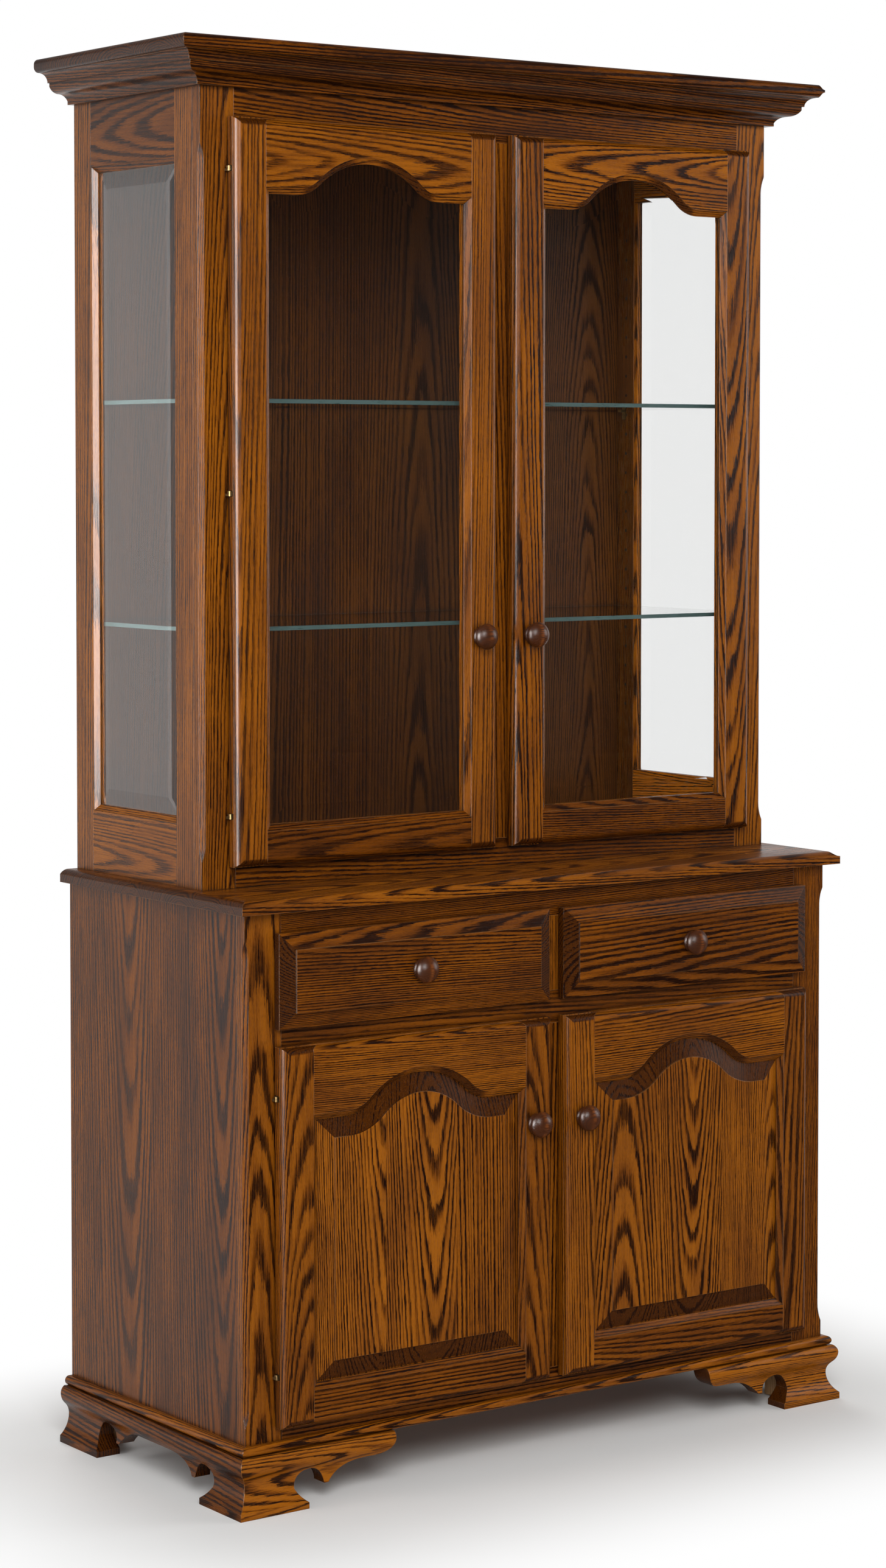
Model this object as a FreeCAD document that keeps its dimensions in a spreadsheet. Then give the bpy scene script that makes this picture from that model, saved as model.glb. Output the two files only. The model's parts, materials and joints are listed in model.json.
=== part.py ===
import FreeCAD, Part
import Sketcher
import math
import os
from types import SimpleNamespace
from FreeCAD import Placement, Rotation, Vector

# An oak dresser with a glazed hutch: a two-drawer, two-door base on ogee bracket feet, and a china hutch
# with arched glass doors, glass sides and a sprung crown. Front faces -Y, floor at Z = 0.
# The origin is under the middle of the whole piece, knobs included.

SIZES = [
    # Base case
    ("case_width", 1078, "width over the base case's sides"),
    ("case_depth", 484, "depth from the base face frame to the back"),
    ("counter_height", 867, "floor to the top of the counter"),
    ("counter_thickness", 19, "counter board"),
    ("counter_side_overhang", 17, "counter beyond the case at each side"),
    ("counter_front_overhang", 22, "counter beyond the face frame"),
    ("counter_edge_run", 14, "width of the counter's rounded upper edge"),
    ("counter_edge_drop", 7, "height of the counter's rounded upper edge"),
    ("board_thickness", 19, "case sides, floors, ceiling and wooden shelf"),
    ("frame_thickness", 20, "face frames and hutch side frames"),
    ("back_thickness", 6, "back panels"),
    ("base_stile_width", 61, "outer stiles of the base face frame"),
    ("base_mullion_width", 50, "uprights between the drawers and between the doors"),
    ("base_top_rail_width", 42, "rail under the counter"),
    ("base_middle_rail_width", 48.5, "rail between drawers and doors"),
    ("base_bottom_rail_width", 45, "rail under the doors"),
    ("drawer_opening_height", 111.5, "height of a drawer's hole in the face frame"),
    ("shelf_height", 262, "base floor to the top of the wooden shelf"),
    ("shelf_set_back", 60, "wooden shelf behind the face frame"),
    ("cleat_height", 32, "strips that carry the wooden shelf"),
    ("cleat_width", 16, "strips that carry the wooden shelf"),
    # Feet and base moulding
    ("foot_height", 85, "ogee brackets, floor to case"),
    ("foot_back", 18, "bracket's flat back, behind the case face"),
    ("pad_proud", 21.5, "foot pad in front of the case face"),
    ("pad_height", 10, "upright edge of the foot pad"),
    ("pad_length", 115, "length of a front foot pad along the floor"),
    ("side_pad_length", 109.5, "length of a side foot pad along the floor"),
    ("waist_proud", 6, "narrowest point of the ogee, in front of the case face"),
    ("waist_height", 42, "narrowest point of the ogee, above the floor"),
    ("bulge_proud", 20, "fullest point of the ogee, in front of the case face"),
    ("bulge_height", 74, "fullest point of the ogee, above the floor"),
    ("foot_top_proud", 14, "top of the bracket, in front of the case face"),
    ("notch_offset", 8.5, "centre of the scroll's round notch, beyond the end of the pad"),
    ("notch_height", 28, "centre of the round notch, above the floor"),
    ("notch_radius", 25.5, "round notch of the scroll"),
    ("spur_width", 7, "blunt tip beside the notch"),
    ("heel_height", 9, "upright end of a pad below the scroll"),
    ("heel_radius", 48, "hollow between pad end and notch"),
    ("scroll_run", 58, "blunt tip to the level part of the scroll"),
    ("scroll_height", 54, "level part of the scroll, above the floor"),
    ("wing_length", 267, "length of a front bracket from the foot's corner"),
    ("wing_radius", 26, "rounded end of a front bracket"),
    ("block_width", 44, "glue blocks inside the feet"),
    ("block_lift", 3, "glue blocks above the floor"),
    ("base_moulding_height", 14, "bullnose strip above the feet"),
    ("base_moulding_proud", 12.5, "bullnose strip in front of the case face"),
    # Stopped chamfers on the outer corners
    ("chamfer_leg", 7, "width of the chamfer on each face"),
    ("chamfer_run_out", 26, "length of each curved end"),
    ("base_chamfer_top", 38, "base chamfer's end below the counter"),
    ("base_chamfer_bottom", 24, "base chamfer's end above the moulding"),
    ("hutch_chamfer_top", 80, "hutch chamfer's end below the crown"),
    ("hutch_chamfer_bottom", 40, "hutch chamfer's end above the counter"),
    # Hutch
    ("hutch_width", 1052, "width over the hutch's sides"),
    ("hutch_depth", 352.5, "depth from the hutch face frame to the back"),
    ("total_height", 2072, "floor to the top of the crown"),
    ("hutch_stile_width", 57, "outer stiles of the hutch face frame"),
    ("hutch_centre_width", 56, "stile between the hutch doors"),
    ("hutch_top_rail_width", 98, "rail above the doors, up to the crown slab"),
    ("hutch_bottom_rail_width", 43, "rail under the doors"),
    ("side_stile_width", 48, "stiles of the hutch side frames"),
    ("side_top_rail_width", 139, "upper rail of a side frame, up to the crown slab"),
    ("side_bottom_rail_width", 91, "lower rail of a side frame"),
    ("glass_shelf_thickness", 6, "glass shelves"),
    ("glass_shelf_spacing", 329, "hutch floor to shelf and shelf to shelf, top to top"),
    ("glass_shelf_set_back", 6, "glass shelf behind the face frame"),
    ("glass_shelf_clearance", 2, "glass shelf to the sides and the back"),
    ("shelf_pin_width", 8, "flat pins under the glass shelves"),
    ("shelf_pin_reach", 10, "flat pin's tongue under the glass"),
    ("shelf_pin_drop", 14, "flat pin's back plate on the side frame"),
    ("shelf_pin_thickness", 2, "flat pin's tongue and back plate"),
    # Crown
    ("crown_slab_thickness", 20, "board on top of the hutch"),
    ("crown_slab_overhang", 68, "slab beyond the hutch at the front and sides"),
    ("crown_slab_round", 8, "rounded edges of the slab"),
    ("crown_height", 44, "sprung moulding under the slab"),
    ("crown_foot_proud", 11, "lower edge of the moulding"),
    ("crown_foot_height", 5, "lower fillet of the moulding"),
    ("crown_cyma_proud", 42, "upper end of the ogee"),
    ("crown_cyma_height", 20, "height of the ogee"),
    ("crown_fillet_height", 5, "upright fillet above the ogee"),
    ("crown_cove_start", 45, "lower end of the cove"),
    ("crown_cove_end", 58, "upper end of the cove"),
    ("crown_back_height", 15, "moulding's seat against the hutch"),
    ("crown_back_run", 36, "moulding's hollow back at the slab"),
    # Doors
    ("front_overlay", 12, "doors and drawer fronts over the face frame"),
    ("front_gap", 2.5, "face frame to the back of a door or drawer front"),
    ("door_thickness", 22, "door stiles and rails"),
    ("door_lip", 12, "thickness of the lip round a door"),
    ("door_edge_step", 1.5, "step between the lip and the rounded edge"),
    ("door_stile_width", 51, "door stiles"),
    ("door_rail_width", 50, "lower door rails"),
    ("door_shoulder_drop", 98, "door's top to the shoulders of the arch"),
    ("arch_rise", 50, "shoulder to peak of the arch"),
    ("arch_half_width", 126, "base doors: peak to where the shoulder starts"),
    ("hutch_arch_shoulder", 55.5, "hutch doors: side of the opening to where the arch starts"),
    ("arch_foot_radius", 52, "hollow curve at the foot of the arch"),
    ("stick_quirk", 1.5, "step at the inner edge of the frame"),
    ("stick_width", 9, "bevel round the inner edge of the frame"),
    ("stick_depth", 6, "depth of that bevel"),
    ("seat_depth", 9.5, "front of a door to the groove or rabbet"),
    ("seat_width", 9, "panel or pane behind the sight edge"),
    ("seat_clearance", 1, "panel or pane to the end of its groove or rabbet"),
    ("groove_width", 6.5, "panel groove"),
    ("panel_margin", 37, "frame's inner edge to the raised field"),
    ("panel_field_depth", 1.5, "raised field behind the front of the door"),
    ("panel_field_step", 2, "step round the raised field"),
    ("pane_thickness", 3.5, "edge of a glass pane"),
    ("pane_bevel_width", 25, "bevel round a glass pane"),
    ("pane_bevel_rise", 2.5, "bevel round a glass pane"),
    ("stop_set_back", 1, "glass stops below the back of their frame"),
    # Drawers
    ("drawer_front_thickness", 22, "drawer fronts"),
    ("drawer_lip", 11.5, "edge of a drawer front"),
    ("drawer_border", 23, "bevel round the raised field"),
    ("drawer_field_step", 2, "step round the raised field"),
    ("drawer_box_depth", 430, "drawer box behind its front"),
    ("drawer_box_height", 90, "drawer box sides"),
    ("drawer_side_clearance", 5, "drawer box to the side of its opening"),
    ("drawer_lift", 2, "drawer box above the middle rail"),
    ("drawer_board", 12, "drawer box sides, back and inner front"),
    ("drawer_bottom_board", 6, "drawer bottoms"),
    ("drawer_bottom_lift", 10, "drawer bottom above the sides' lower edge"),
    ("runner_clearance", 0.3, "drawer box to its runners"),
    ("runner_ledge", 18, "runner under a drawer side"),
    ("runner_height", 22, "thickness of a runner's ledge"),
    ("runner_guide_height", 28, "guide strip beside a drawer side"),
    ("guide_clearance", 1, "drawer side to its guide strip"),
    # Knobs
    ("knob_radius", 19, "turned knobs"),
    ("knob_projection", 26, "knob in front of the door"),
    ("knob_stem_radius", 14, "stem of a knob"),
    ("knob_rim_height", 12, "widest part, above the door's face"),
    ("knob_crown_radius", 12, "upper part of a knob's head"),
    ("knob_crown_height", 22, "upper part of a knob's head, above the door's face"),
    ("base_knob_height", 386, "knob above the bottom of a base door"),
    ("hutch_knob_height", 319, "knob above the bottom of a hutch door"),
    ("knob_edge_distance", 32, "knob from the free edge of its door"),
    # Hinges
    ("hinge_inset", 73, "end of a door to the middle of its hinge"),
    ("hinge_set_out", 8, "hinge axis in front of the face frame"),
    ("hinge_radius", 3.5, "knuckle"),
    ("hinge_eye_height", 3.4, "each of the two eyes of a knuckle"),
    ("hinge_eye_clearance", 0.3, "door eye above the frame eye"),
    ("hinge_leaf_length", 22, "door leaf, from the axis into the stile"),
    ("hinge_flange_thickness", 2, "frame leaf behind the door"),
    ("hinge_flange_width", 16, "frame leaf behind the door"),
    ("hinge_notch_depth", 5.5, "notch in the edge of the door"),
    ("hinge_notch_clearance", 0.8, "notch above and below the knuckle"),
]

LEFT, RIGHT = 1, -1
PLANES = {
    "XY": (Rotation(), "z"),
    "XZ": (Rotation(Vector(1, 0, 0), 90), "y"),
    "YZ": (Rotation(Vector(1, 1, 1), 120), "x"),
}
AXES = {"X": Vector(1, 0, 0), "Y": Vector(0, 1, 0), "Z": Vector(0, 0, 1)}


class Size:
    """A length as an expression over the sheet's cells, with its present value."""

    def __init__(self, text, value):
        self.text = text
        self.value = value

    def combine(self, sign, other, result):
        text = other.text if isinstance(other, Size) else repr(other)
        return Size(f"({self.text} {sign} {text})", result(self.value, amount(other)))

    def __add__(self, other):
        return self.combine("+", other, lambda a, b: a + b)

    def __sub__(self, other):
        return self.combine("-", other, lambda a, b: a - b)

    def __mul__(self, other):
        return self.combine("*", other, lambda a, b: a * b)

    def __truediv__(self, other):
        return self.combine("/", other, lambda a, b: a / b)

    def __neg__(self):
        return self * -1


def amount(size):
    return size.value if isinstance(size, Size) else float(size)


doc = FreeCAD.newDocument("dresser_with_hutch")
sheet = doc.addObject("Spreadsheet::Sheet", "Sizes")
for row, (alias, value, meaning) in enumerate(SIZES, start=1):
    sheet.set(f"A{row}", str(value))
    sheet.setAlias(f"A{row}", alias)
    sheet.set(f"B{row}", meaning)
doc.recompute()
s = SimpleNamespace(**{alias: Size(f"Sizes.{alias}", float(sheet.get(alias))) for alias, _, _ in SIZES})
ZERO = s.case_width * 0
nodes = []


# Building blocks

def bind(item, prop, size):
    item.setExpression(prop, size.text)


def place(item, x, y, z):
    for axis, size in (("x", x), ("y", y), ("z", z)):
        bind(item, f"Placement.Base.{axis}", size)


def board(name, x, y, z):
    """A squared board between a low and a high coordinate on each axis."""
    box = doc.addObject("Part::Box", name)
    for prop, (low, high) in zip(("Length", "Width", "Height"), (x, y, z)):
        bind(box, prop, high - low)
    place(box, x[0], y[0], z[0])
    return box


def arc_between(start, end, turn, radius):
    """The short arc from start to end that bends to the left or the right."""
    chord = end - start
    half = chord.Length / 2
    height = math.sqrt(max(radius ** 2 - half ** 2, 0))
    side = Vector(-chord.y, chord.x, 0).normalize()
    centre = (start + end) / 2 + side * (turn * height)
    first, last = (start, end) if turn == LEFT else (end, start)
    angles = [math.atan2(point.y - centre.y, point.x - centre.x) for point in (first, last)]
    if angles[1] < angles[0]:
        angles[1] += 2 * math.pi
    return Part.ArcOfCircle(Part.Circle(centre, AXES["Z"], radius), *angles)


def draw(sketch, corners):
    """A closed outline with every corner pinned. A corner is (across, up), or (across, up, turn, radius)
    where the side that arrives there is an arc."""
    points = [Vector(amount(corner[0]), amount(corner[1]), 0) for corner in corners]
    starts = []
    ends = []
    for index, corner in enumerate(corners):
        start, end = points[index - 1], points[index]
        if len(corner) == 2:
            sketch.addGeometry(Part.LineSegment(start, end))
            turn = LEFT
        else:
            turn = corner[2]
            sketch.addGeometry(arc_between(start, end, turn, amount(corner[3])))
        starts.append(1 if turn == LEFT else 2)
        ends.append(2 if turn == LEFT else 1)
    for index, corner in enumerate(corners):
        after = (index + 1) % len(corners)
        sketch.addConstraint(Sketcher.Constraint("Coincident", index, ends[index], after, starts[after]))
        for kind, size in (("DistanceX", corner[0]), ("DistanceY", corner[1])):
            constraint = Sketcher.Constraint(kind, -1, 1, index, ends[index], amount(size))
            sketch.setExpression(f"Constraints[{sketch.addConstraint(constraint)}]", size.text)
        if len(corner) == 4:
            constraint = Sketcher.Constraint("Radius", index, amount(corner[3]))
            sketch.setExpression(f"Constraints[{sketch.addConstraint(constraint)}]", corner[3].text)


def outline(name, plane, level, corners):
    """A closed outline on a plane at a level along the plane's own axis."""
    rotation, axis = PLANES[plane]
    sketch = doc.addObject("Sketcher::SketchObject", name)
    sketch.Placement = Placement(Vector(), rotation)
    bind(sketch, f"Placement.Base.{axis}", level)
    draw(sketch, corners)
    return sketch


def rectangle(name, plane, level, across, up):
    """A squared outline between a low and a high coordinate each way."""
    (left, right), (low, high) = across, up
    return outline(name, plane, level, [(left, low), (right, low), (right, high), (left, high)])


def bend_radius(along, off):
    """Radius of an arc that starts along a line and ends a way along it and off it."""
    return (along * along + off * off) / (off * 2)


def shrink(span, inset):
    """A low and a high coordinate, each moved inwards."""
    return (span[0] + inset, span[1] - inset)


def swapped(corners):
    """The same corners with across and up exchanged, which turns their arcs the other way."""
    return [(up, across, *([-bend[0], bend[1]] if bend else [])) for across, up, *bend in corners]


def prism(name, sketch, axis, length):
    """An outline carried along an axis."""
    solid = doc.addObject("Part::Extrusion", name)
    solid.Base = sketch
    solid.DirMode = "Custom"
    solid.Dir = AXES[axis]
    solid.Solid = True
    bind(solid, "LengthFwd", length)
    return solid


def taper(name, first, last):
    """A solid between two outlines that have the same corners, with straight sides."""
    solid = doc.addObject("Part::Loft", name)
    solid.Sections = [first, last]
    solid.Solid = True
    solid.Ruled = True
    solid.Linearize = True
    return solid


def worked_board(name, section, x, z, back):
    """An upright board with the same worked edge on all four sides; section(low, high, back) gives the
    corners of its section."""
    plan = outline(f"{name}_plan", "XY", z[0], section(x[0], x[1], back))
    side = outline(f"{name}_side", "YZ", x[0], swapped(section(z[0], z[1], back)))
    return common(name, prism(f"{name}_plan_run", plan, "Z", z[1] - z[0]),
                  prism(f"{name}_side_run", side, "X", x[1] - x[0]))


def cut(name, base, *tools):
    for index, tool in enumerate(tools, start=1):
        label = name if index == len(tools) else f"{name}_cut_{index}"
        result = doc.addObject("Part::Cut", label)
        result.Base = base
        result.Tool = tool
        result.Refine = True
        base = result
    return base


def common(name, first, second):
    result = doc.addObject("Part::Common", name)
    result.Base = first
    result.Tool = second
    return result


def fuse(name, *pieces):
    result = doc.addObject("Part::MultiFuse", name)
    result.Shapes = list(pieces)
    result.Refine = True
    return result


def group(name, *pieces):
    """Separate solids that share a node."""
    result = doc.addObject("Part::Compound", name)
    result.Links = list(pieces)
    return result


def mirrored(name, piece):
    """The same piece on the other side of the middle plane."""
    result = doc.addObject("Part::Mirroring", name)
    result.Source = piece
    result.Normal = AXES["X"]
    return result


def paired(name, *pieces):
    """Left pieces and their mirror images, in one node."""
    return group(name, *pieces, *[mirrored(f"{piece.Name}_right", piece) for piece in pieces])


def keep(*pieces):
    """Pieces that are written as nodes."""
    nodes.extend(pieces)


def both_sides(name, make):
    """A left node from make(name), and its mirror image as the right node."""
    left = make(name.format(side="left"))
    keep(left, mirrored(name.format(side="right"), left))


# Places shared by several pieces, worked out from the sizes

front_reach = s.front_gap + s.drawer_front_thickness + s.knob_projection
base_front = (front_reach - s.case_depth) / 2
case_back = base_front + s.case_depth
frame_back = base_front + s.frame_thickness
panel_front = case_back - s.back_thickness
hutch_front = case_back - s.hutch_depth
hutch_frame_back = hutch_front + s.frame_thickness
case_side = -s.case_width / 2
case_inside = case_side + s.board_thickness
hutch_side = -s.hutch_width / 2
hutch_inside = hutch_side + s.frame_thickness
counter_bottom = s.counter_height - s.counter_thickness
moulding_top = s.foot_height + s.base_moulding_height
slab_bottom = s.total_height - s.crown_slab_thickness
crown_bottom = slab_bottom - s.crown_height

drawer_top = counter_bottom - s.base_top_rail_width
drawer_bottom = drawer_top - s.drawer_opening_height
base_door_top = drawer_bottom - s.base_middle_rail_width
base_floor = s.foot_height + s.base_bottom_rail_width
base_opening_side = case_side + s.base_stile_width
base_opening_middle = -s.base_mullion_width / 2
hutch_door_top = slab_bottom - s.hutch_top_rail_width
hutch_floor = s.counter_height + s.hutch_bottom_rail_width
hutch_opening_side = hutch_side + s.hutch_stile_width
hutch_opening_middle = -s.hutch_centre_width / 2


# Feet: boards with an ogee face, sawn to a scroll and mitred at the corner

def ogee_section(face):
    """Section of a foot board in front of (below) a face, from its back at the floor, across to the pad."""
    def out(proud):
        return face - proud
    cove_run = s.pad_proud - s.waist_proud
    cove_rise = s.waist_height - s.pad_height
    swell_run = s.bulge_proud - s.waist_proud
    swell_rise = s.bulge_height - s.waist_height
    cap_run = s.bulge_proud - s.foot_top_proud
    cap_rise = s.foot_height - s.bulge_height
    swell_radius = bend_radius(swell_rise / 2, swell_run / 2)
    return [
        (face + s.foot_back, ZERO),
        (face + s.foot_back, s.foot_height),
        (out(s.foot_top_proud), s.foot_height),
        (out(s.bulge_proud), s.bulge_height, LEFT, bend_radius(cap_rise, cap_run)),
        (out(s.waist_proud + swell_run / 2), s.waist_height + swell_rise / 2, LEFT, swell_radius),
        (out(s.waist_proud), s.waist_height, RIGHT, swell_radius),
        (out(s.pad_proud), s.pad_height, RIGHT, bend_radius(cove_rise, cove_run)),
        (out(s.pad_proud), ZERO),
    ]


def scroll_edge(at, pad_length):
    """Lower edge of a foot from its pad's end to the level part of the scroll; at() places a distance
    from the foot's corner."""
    notch = pad_length + s.notch_offset
    spur = notch + s.notch_radius
    scroll_radius = bend_radius(s.scroll_run, s.scroll_height - s.notch_height)
    return [
        (at(pad_length), ZERO),
        (at(pad_length), s.heel_height),
        (at(notch - s.notch_radius), s.notch_height, RIGHT, s.heel_radius),
        (at(notch), s.notch_height + s.notch_radius, RIGHT, s.notch_radius),
        (at(spur), s.notch_height, RIGHT, s.notch_radius),
        (at(spur + s.spur_width), s.notch_height),
        (at(spur + s.spur_width + s.scroll_run), s.scroll_height, RIGHT, scroll_radius),
    ]


def reverse_edge(edge):
    """The same edge walked the other way."""
    walked = []
    for index in range(len(edge) - 1, -1, -1):
        bend = edge[index + 1][2:] if index + 1 < len(edge) else ()
        walked.append(edge[index][:2] + bend)
    return walked


def mitre(name, corner_x, corner_y, reach, inside, low, high, keep_front):
    """Wedge that trims a run at its front left corner, from the front run or from the side run."""
    far_x = corner_x - reach if keep_front else corner_x + inside
    far_y = corner_y + inside if keep_front else corner_y - reach
    corners = [(corner_x - reach, corner_y - reach), (corner_x + inside, corner_y + inside), (far_x, far_y)]
    return prism(name, outline(f"{name}_outline", "XY", low, corners), "Z", high - low)


foot_reach = s.pad_proud + s.bulge_proud
foot_corner_x = case_side - s.pad_proud
foot_corner_y = base_front - s.pad_proud


def front_bracket(name):
    run_start = case_side - foot_reach
    section = outline(f"{name}_section", "YZ", run_start, ogee_section(base_front))
    run = prism(f"{name}_run", section, "X", foot_reach + s.wing_length)

    def at(distance):
        return foot_corner_x + distance
    wing_bottom = s.scroll_height + s.wing_radius
    corners = [(run_start, ZERO)] + scroll_edge(at, s.pad_length) + [
        (at(s.wing_length - s.wing_radius), s.scroll_height),
        (at(s.wing_length), wing_bottom, LEFT, s.wing_radius),
        (at(s.wing_length), s.foot_height),
        (run_start, s.foot_height),
    ]
    scroll = outline(f"{name}_scroll", "XZ", base_front - foot_reach, corners)
    blank = common(f"{name}_blank", run, prism(f"{name}_saw", scroll, "Y", foot_reach + s.foot_back * 2))
    wedge = mitre(f"{name}_mitre", case_side, base_front, foot_reach, s.foot_back, ZERO, s.foot_height, True)
    return cut(name, blank, wedge)


def side_bracket(name):
    run_start = base_front - foot_reach
    length = case_back - run_start
    section = outline(f"{name}_section", "XZ", run_start, ogee_section(case_side))
    run = prism(f"{name}_run", section, "Y", length)

    def at(distance):
        return foot_corner_y + distance

    def from_back(distance):
        return case_back - distance
    corners = [(run_start, ZERO)] + scroll_edge(at, s.side_pad_length)
    corners += reverse_edge(scroll_edge(from_back, s.side_pad_length))
    corners += [(case_back, ZERO), (case_back, s.foot_height), (run_start, s.foot_height)]
    scroll = outline(f"{name}_scroll", "YZ", case_side - foot_reach, corners)
    blank = common(f"{name}_blank", run, prism(f"{name}_saw", scroll, "X", foot_reach + s.foot_back * 2))
    wedge = mitre(f"{name}_mitre", case_side, base_front, foot_reach, s.foot_back, ZERO, s.foot_height, False)
    return cut(name, blank, wedge)


def glue_blocks():
    inside = case_side + s.foot_back
    height = (s.block_lift, s.foot_height)
    across = (inside, inside + s.block_width)
    front = base_front + s.foot_back
    return paired("foot_glue_blocks",
                  board("front_block", across, (front, front + s.block_width), height),
                  board("rear_block", across, (case_back - s.block_width, case_back), height))


keep(paired("front_brackets", front_bracket("front_bracket")),
     paired("side_brackets", side_bracket("side_bracket")),
     glue_blocks())


# Runs of moulding round the front and both sides, mitred at the front corners

def moulding(name, section, face_x, face_y, reach, low, high):
    """section(face) gives the moulding's corners in front of (below) a face."""
    start = face_x - reach
    front_section = outline(f"{name}_front_section", "YZ", start, section(face_y))
    side_section = outline(f"{name}_side_section", "XZ", face_y - reach, section(face_x))
    front = prism(f"{name}_front_run", front_section, "X", start * -2)
    wedge = mitre(f"{name}_front_mitre", face_x, face_y, reach * 2, ZERO, low, high, True)
    front = cut(f"{name}_front", front, wedge, mirrored(f"{name}_front_mitre_right", wedge))
    side = prism(f"{name}_side_run", side_section, "Y", case_back - face_y + reach)
    side = cut(f"{name}_side", side,
               mitre(f"{name}_side_mitre", face_x, face_y, reach * 2, ZERO, low, high, False))
    return group(name, front, side, mirrored(f"{name}_side_right", side))


def bullnose_section(face):
    nose = s.base_moulding_height / 2
    out = face - s.base_moulding_proud
    return [
        (face, s.foot_height),
        (face, moulding_top),
        (out + nose, moulding_top),
        (out, s.foot_height + nose, LEFT, nose),
        (out + nose, s.foot_height, LEFT, nose),
    ]


def crown_section(face):
    def out(proud):
        return face - proud
    cyma_low = crown_bottom + s.crown_foot_height
    cyma_high = cyma_low + s.crown_cyma_height
    cove_low = cyma_high + s.crown_fillet_height
    cyma_run = s.crown_cyma_proud - s.crown_foot_proud
    cove_run = s.crown_cove_end - s.crown_cove_start
    cove_rise = slab_bottom - cove_low
    cyma_radius = bend_radius(cyma_run / 2, s.crown_cyma_height / 2)
    return [
        (face, crown_bottom),
        (face, crown_bottom + s.crown_back_height),
        (out(s.crown_back_run), slab_bottom),
        (out(s.crown_cove_end), slab_bottom),
        (out(s.crown_cove_start), cove_low, RIGHT, bend_radius(cove_rise, cove_run)),
        (out(s.crown_cyma_proud), cove_low),
        (out(s.crown_cyma_proud), cyma_high),
        (out(s.crown_foot_proud + cyma_run / 2), cyma_low + s.crown_cyma_height / 2, LEFT, cyma_radius),
        (out(s.crown_foot_proud), cyma_low, RIGHT, cyma_radius),
        (out(s.crown_foot_proud), crown_bottom),
    ]


keep(moulding("base_moulding", bullnose_section, case_side, base_front, s.base_moulding_proud,
              s.foot_height, moulding_top))
keep(moulding("crown_moulding", crown_section, hutch_side, hutch_front, s.crown_cove_end,
              crown_bottom, slab_bottom))


# Boards with a worked edge on the front and both sides

def edged_slab(name, side, front, low, high, edge):
    """edge(at) gives the corners of a worked edge from its lower to its upper face; at() places a distance
    into the board."""
    def from_side(depth):
        return side + depth

    def from_right(depth):
        return -side - depth

    def from_front(depth):
        return front + depth
    across = outline(f"{name}_across", "XZ", front, edge(from_side) + reverse_edge(edge(from_right)))
    deep = outline(f"{name}_deep", "YZ", side, edge(from_front) + [(case_back, high), (case_back, low)])
    return common(name, prism(f"{name}_across_run", across, "Y", case_back - front),
                  prism(f"{name}_deep_run", deep, "X", side * -2))


def counter_edge(at):
    run, drop = s.counter_edge_run, s.counter_edge_drop
    turn = RIGHT if at(run).value > at(ZERO).value else LEFT
    return [
        (at(ZERO), counter_bottom),
        (at(ZERO), s.counter_height - drop),
        (at(run), s.counter_height, turn, bend_radius(run, drop)),
    ]


def slab_edge(at):
    radius = s.crown_slab_round
    turn = RIGHT if at(radius).value > at(ZERO).value else LEFT
    return [
        (at(radius), slab_bottom),
        (at(ZERO), slab_bottom + radius, turn, radius),
        (at(ZERO), s.total_height - radius),
        (at(radius), s.total_height, turn, radius),
    ]


keep(edged_slab("countertop", case_side - s.counter_side_overhang, base_front - s.counter_front_overhang,
                counter_bottom, s.counter_height, counter_edge))
keep(edged_slab("crown_slab", hutch_side - s.crown_slab_overhang, hutch_front - s.crown_slab_overhang,
                slab_bottom, s.total_height, slab_edge))


# Face frames with stopped chamfers on the outer corners

def chamfer_tool(name, corner_x, corner_y, low, high):
    """Cutter for a chamfer that runs out in a curve at both ends, drawn in the plane that halves the
    corner."""
    depth = s.chamfer_leg / math.sqrt(2)
    run = s.chamfer_run_out
    radius = bend_radius(run, depth)
    sketch = doc.addObject("Sketcher::SketchObject", f"{name}_outline")
    sketch.Placement = Placement(Vector(), Rotation(AXES["Z"], 45) * PLANES["XZ"][0])
    place(sketch, corner_x, corner_y, ZERO)
    draw(sketch, [
        (-depth, low),
        (ZERO, low),
        (depth, low + run, LEFT, radius),
        (depth, high - run),
        (ZERO, high, LEFT, radius),
        (-depth, high),
    ])
    tool = doc.addObject("Part::Extrusion", name)
    tool.Base = sketch
    tool.DirMode = "Custom"
    tool.Dir = Vector(-1, 1, 0)
    tool.Solid = True
    tool.Symmetric = True
    bind(tool, "LengthFwd", s.chamfer_leg * 4)
    return tool


def face_stiles(name, side, width, front, low, high, chamfer_low, chamfer_high):
    blank = board(f"{name}_blank", (side, side + width), (front, front + s.frame_thickness), (low, high))
    chamfer = chamfer_tool(f"{name}_chamfer", side, front, chamfer_low, chamfer_high)
    return paired(name, cut(f"{name}_left", blank, chamfer))


def base_face_frame():
    depth = (base_front, frame_back)
    across = (base_opening_side, -base_opening_side)
    middle = (base_opening_middle, -base_opening_middle)
    keep(face_stiles("base_face_stiles", case_side, s.base_stile_width, base_front,
                     s.foot_height, counter_bottom,
                     moulding_top + s.base_chamfer_bottom, counter_bottom - s.base_chamfer_top),
         board("base_top_rail", across, depth, (drawer_top, counter_bottom)),
         board("base_middle_rail", across, depth, (base_door_top, drawer_bottom)),
         board("base_bottom_rail", across, depth, (s.foot_height, base_floor)),
         group("base_mullions", board("drawer_mullion", middle, depth, (drawer_bottom, drawer_top)),
               board("door_mullion", middle, depth, (base_floor, base_door_top))))


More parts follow.
